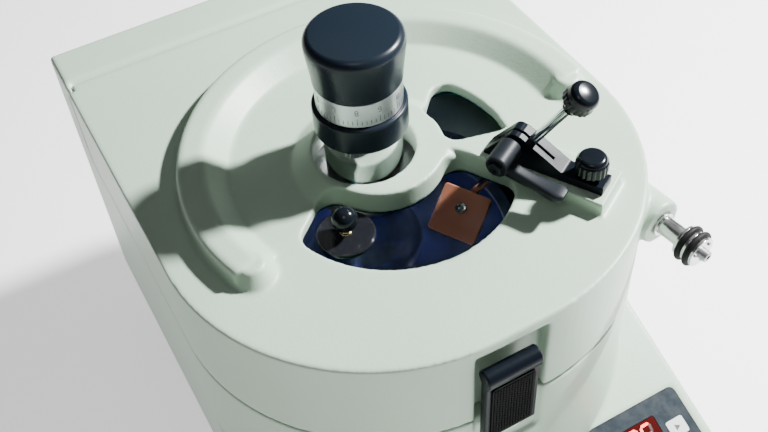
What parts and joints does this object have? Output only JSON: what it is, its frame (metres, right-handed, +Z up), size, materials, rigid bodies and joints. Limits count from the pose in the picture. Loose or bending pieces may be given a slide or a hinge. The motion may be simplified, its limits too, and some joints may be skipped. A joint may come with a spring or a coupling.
{
  "type": "laboratory mortar grinder",
  "caption": "Bench mortar grinder with a hinged windowed lid, rotary pestle tower, rod-held scraper, side adjuster, front latch and sloped control panel.",
  "frame": {"origin": "middle of the housing's footprint at floor level", "axes": "+X right, +Y back, +Z up"},
  "size_m": [0.31, 0.46, 0.41],
  "materials": {
    "grey_shell": "fine texture",
    "dark_pan": "satin",
    "foot_rubber": "matte",
    "stainless": "brushed",
    "cast_alloy": "cast",
    "motor_paint": "satin",
    "belt_rubber": "matte",
    "mortar_steel": "polished",
    "board_green": "satin",
    "black_plastic": "satin",
    "gloss_black": "gloss",
    "keypad_film": "satin film",
    "display_lens": "gloss",
    "led_red": "lit",
    "key_film": "satin film",
    "window_glass": "clear",
    "smoked_plastic": "gloss",
    "brass_stem": "polished",
    "chrome_sleeve": "polished",
    "scale_silver": "satin anodised",
    "pestle_steel": "polished",
    "scraper_resin": "satin",
    "graphite_lever": "fine texture"
  },
  "bodies": {
    "base": {"housing": "grey_shell", "base_pan": "dark_pan", "foot_front_left": "foot_rubber", "foot_front_right": "foot_rubber", "foot_rear_left": "foot_rubber", "foot_rear_right": "foot_rubber", "chamber_liner": "stainless", "bearing_block": "cast_alloy", "motor": "motor_paint", "motor_plate": "stainless", "drive_belt": "belt_rubber", "control_board": "board_green", "inlet_socket": "black_plastic", "keypad": "keypad_film", "display_window": "display_lens", "display_digits": "led_red", "latch_plate": "stainless", "hinge_pin": "stainless"},
    "mortar_drive": {"drive_shaft": "stainless", "drive_pulley": "cast_alloy", "mortar_holder": "cast_alloy", "mortar": "mortar_steel"},
    "motor_rotor": {"motor_pulley": "cast_alloy"},
    "rocker": {"power_rocker": "black_plastic"},
    "start": {"key_start": "key_film"},
    "stop": {"key_stop": "key_film"},
    "up": {"key_up": "key_film"},
    "down": {"key_down": "key_film"},
    "lid": {"lid_shell": "grey_shell", "window_front": "window_glass", "window_rear": "window_glass", "scraper_block": "black_plastic"},
    "latch": {"latch_lever": "black_plastic", "latch_pad": "black_plastic"},
    "feed_plug": {"plug_disc": "smoked_plastic", "plug_stem": "brass_stem", "plug_ball": "gloss_black"},
    "carriage": {"pestle_carriage": "cast_alloy", "guide_sleeve": "chrome_sleeve", "scale_ring": "scale_silver"},
    "collar": {"lock_collar": "black_plastic"},
    "knob": {"pressure_knob": "gloss_black"},
    "quill": {"pestle_quill": "stainless"},
    "pestle": {"pestle_shaft": "stainless", "pestle_bell": "pestle_steel"},
    "scraper": {"scraper_rod": "chrome_sleeve", "rod_knob": "gloss_black", "scraper_holder": "black_plastic", "scraper_blade": "scraper_resin", "blade_screw": "stainless"},
    "lever": {"clamp_lever": "graphite_lever"},
    "thumb": {"thumb_knob": "gloss_black"},
    "adjuster": {"adjuster_shaft": "stainless", "adjuster_rings": "belt_rubber", "adjuster_screw": "stainless"}
  },
  "joints": [
    {"name": "lid_hinge", "type": "hinge", "parent": "base", "child": "lid", "pos_m": [0, 0.188, 0.306], "axis": [-1, 0, 0], "range_deg": [0, 85]},
    {"name": "mortar_spin", "type": "hinge", "parent": "base", "child": "mortar_drive", "pos_m": [0, 0.014, 0.2], "axis": [0, 0, 1], "continuous": true},
    {"name": "motor_spin", "type": "hinge", "parent": "base", "child": "motor_rotor", "pos_m": [0, 0.128, 0.128], "axis": [0, 0, 1], "continuous": true},
    {"name": "power_rock", "type": "hinge", "parent": "base", "child": "rocker", "pos_m": [-0.074, 0.222, 0.112], "axis": [1, 0, 0], "range_deg": [0, 14]},
    {"name": "latch_swing", "type": "hinge", "parent": "lid", "child": "latch", "pos_m": [-0.01, -0.142, 0.284], "axis": [-1, 0, 0], "range_deg": [0, 50]},
    {"name": "plug_lift", "type": "slide", "parent": "lid", "child": "feed_plug", "axis": [0, 0, 1], "range_m": [0, 0.05]},
    {"name": "pestle_shift", "type": "slide", "parent": "lid", "child": "carriage", "axis": [1, 0, 0], "range_m": [-0.0024, 0.0024]},
    {"name": "adjuster_turn", "type": "hinge", "parent": "lid", "child": "adjuster", "pos_m": [0.121, -0.092, 0.29], "axis": [0.1564, -0.9877, 0], "range_deg": [-90, 90]},
    {"name": "collar_turn", "type": "hinge", "parent": "carriage", "child": "collar", "pos_m": [-0.0115, 0.023, 0.349], "axis": [0, 0, 1], "range_deg": [-30, 30]},
    {"name": "pestle_feed", "type": "slide", "parent": "carriage", "child": "quill", "axis": [0, 0, 1], "range_m": [0, 0.003]},
    {"name": "knob_turn", "type": "hinge", "parent": "carriage", "child": "knob", "pos_m": [-0.0115, 0.023, 0.39], "axis": [0, 0, 1], "range_deg": [0, 270]},
    {"name": "pestle_spin", "type": "hinge", "parent": "quill", "child": "pestle", "pos_m": [-0.0115, 0.023, 0.3], "axis": [0, 0, 1], "continuous": true},
    {"name": "scraper_slide", "type": "slide", "parent": "lid", "child": "scraper", "axis": [0.2575, -0.446, 0.8572], "range_m": [0, 0.006]},
    {"name": "lever_turn", "type": "hinge", "parent": "lid", "child": "lever", "pos_m": [0.062, -0.036, 0.335], "axis": [-0.866, -0.5, 0], "range_deg": [0, 60]},
    {"name": "thumb_turn", "type": "hinge", "parent": "lid", "child": "thumb", "pos_m": [0.088, -0.076, 0.335], "axis": [0, 0, 1], "continuous": true},
    {"name": "start_press", "type": "slide", "parent": "base", "child": "start", "axis": [0, 0.3486, -0.9373], "range_m": [0, 0.001], "stiffness_N_per_m": 500, "springref_m": -0.001},
    {"name": "stop_press", "type": "slide", "parent": "base", "child": "stop", "axis": [0, 0.3486, -0.9373], "range_m": [0, 0.001], "stiffness_N_per_m": 500, "springref_m": -0.001},
    {"name": "up_press", "type": "slide", "parent": "base", "child": "up", "axis": [0, 0.3486, -0.9373], "range_m": [0, 0.001], "stiffness_N_per_m": 500, "springref_m": -0.001},
    {"name": "down_press", "type": "slide", "parent": "base", "child": "down", "axis": [0, 0.3486, -0.9373], "range_m": [0, 0.001], "stiffness_N_per_m": 500, "springref_m": -0.001}
  ],
  "couplings": [
    {"joint": "motor_spin", "follows": "mortar_spin", "ratio": 3},
    {"joint": "adjuster_turn", "follows": "pestle_shift", "rad_per_m": 620},
    {"joint": "knob_turn", "follows": "pestle_feed", "rad_per_m": 1570}
  ]
}
